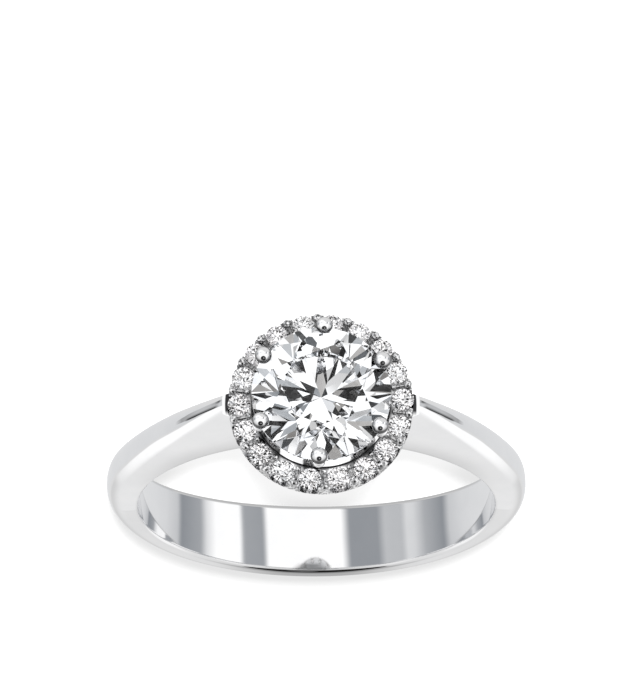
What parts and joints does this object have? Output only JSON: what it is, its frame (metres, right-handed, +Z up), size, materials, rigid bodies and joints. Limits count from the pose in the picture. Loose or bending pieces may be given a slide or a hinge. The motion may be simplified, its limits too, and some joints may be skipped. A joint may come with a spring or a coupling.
{
  "type": "halo ring",
  "caption": "Finger ring with a round centre stone on ball-tipped prongs, a halo of small stones round it, and a polished tapered shank with raised shoulders.",
  "frame": {"origin": "middle of the finger hole, halfway through the shank", "axes": "the ring lies on its side as it rests: +Z up, the head with the stones towards -Y and the base of the shank towards +Y, the finger hole along Z but leaning with the resting tilt"},
  "size_m": [0.02, 0.0245, 0.0085],
  "materials": {
    "white_gold": "rhodium-plated white gold, mirror polished",
    "centre_diamond": "colourless round brilliant, polished facets",
    "halo_diamond": "colourless small brilliants, polished facets"
  },
  "bodies": {
    "root": {"metal_mount": "white_gold", "centre_stone": "centre_diamond", "halo_stone_01": "halo_diamond", "halo_stone_02": "halo_diamond", "halo_stone_03": "halo_diamond", "halo_stone_04": "halo_diamond", "halo_stone_05": "halo_diamond", "halo_stone_06": "halo_diamond", "halo_stone_07": "halo_diamond", "halo_stone_08": "halo_diamond", "halo_stone_09": "halo_diamond", "halo_stone_10": "halo_diamond", "halo_stone_11": "halo_diamond", "halo_stone_12": "halo_diamond", "halo_stone_13": "halo_diamond", "halo_stone_14": "halo_diamond", "halo_stone_15": "halo_diamond", "halo_stone_16": "halo_diamond", "halo_stone_17": "halo_diamond", "halo_stone_18": "halo_diamond"}
  },
  "joints": []
}
